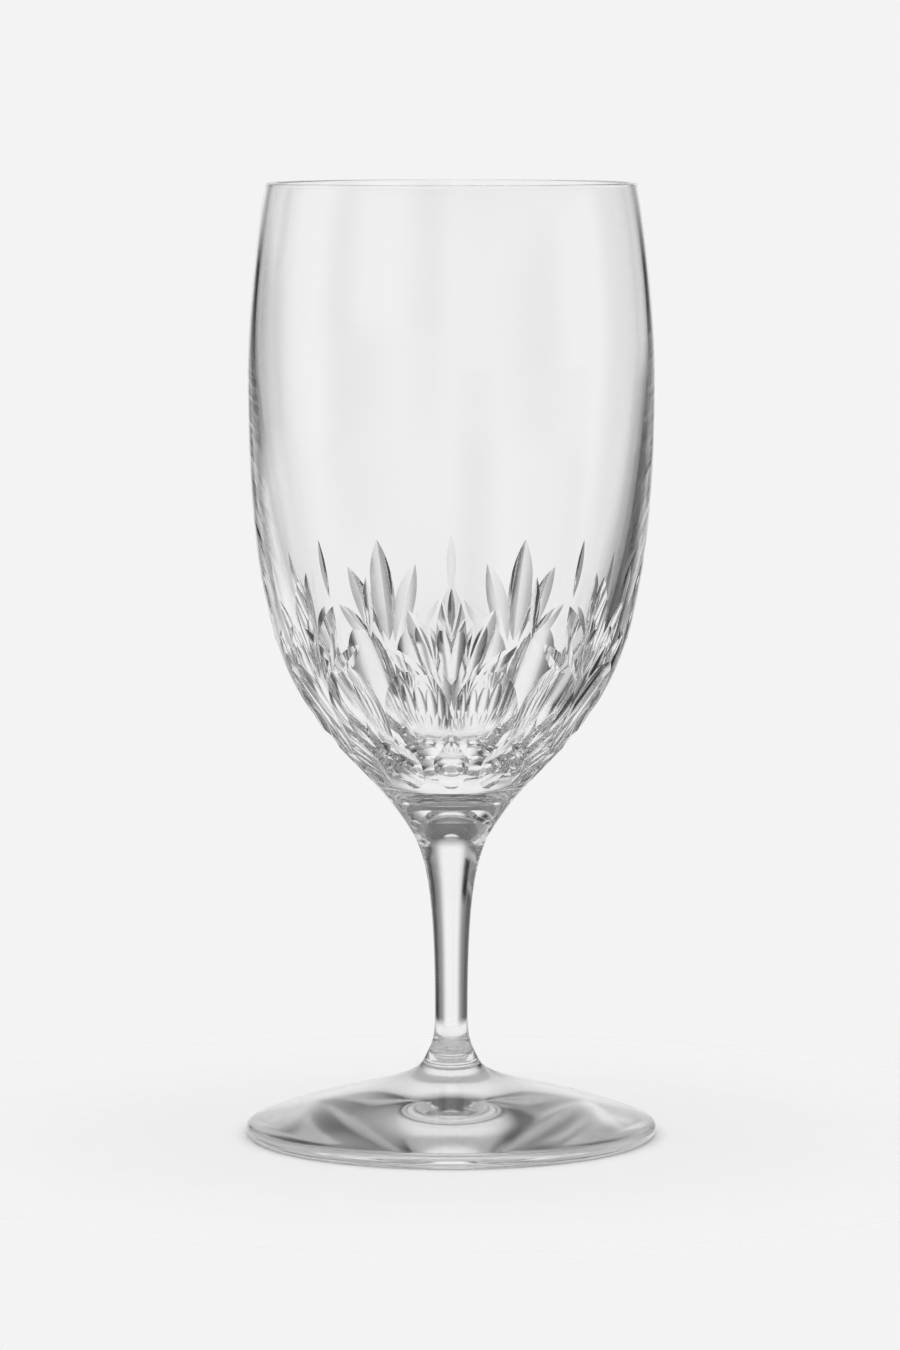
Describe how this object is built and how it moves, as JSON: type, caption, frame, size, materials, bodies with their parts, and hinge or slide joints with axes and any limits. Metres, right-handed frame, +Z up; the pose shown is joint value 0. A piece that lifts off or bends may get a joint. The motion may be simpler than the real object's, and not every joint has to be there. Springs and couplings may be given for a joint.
{
  "type": "iced beverage glass",
  "caption": "Tall stemmed crystal glass for iced drinks: a barrel-shaped bowl with olive and fan cutting round its base, a slender drawn stem and a round foot.",
  "frame": {"origin": "on the table under the centre of the foot", "axes": "+Z up along the glass's axis; -Y faces the viewer in the picture, +X to the viewer's right"},
  "size_m": [0.0932, 0.0934, 0.216],
  "materials": {
    "bowl_crystal": "clear lead-free crystal, blown, cut on the lower outside and acid polished",
    "stem_crystal": "clear lead-free crystal, drawn and fire polished",
    "foot_crystal": "clear lead-free crystal, pressed and fire polished"
  },
  "bodies": {
    "root": {"bowl": "bowl_crystal", "stem": "stem_crystal", "foot": "foot_crystal"}
  },
  "joints": []
}
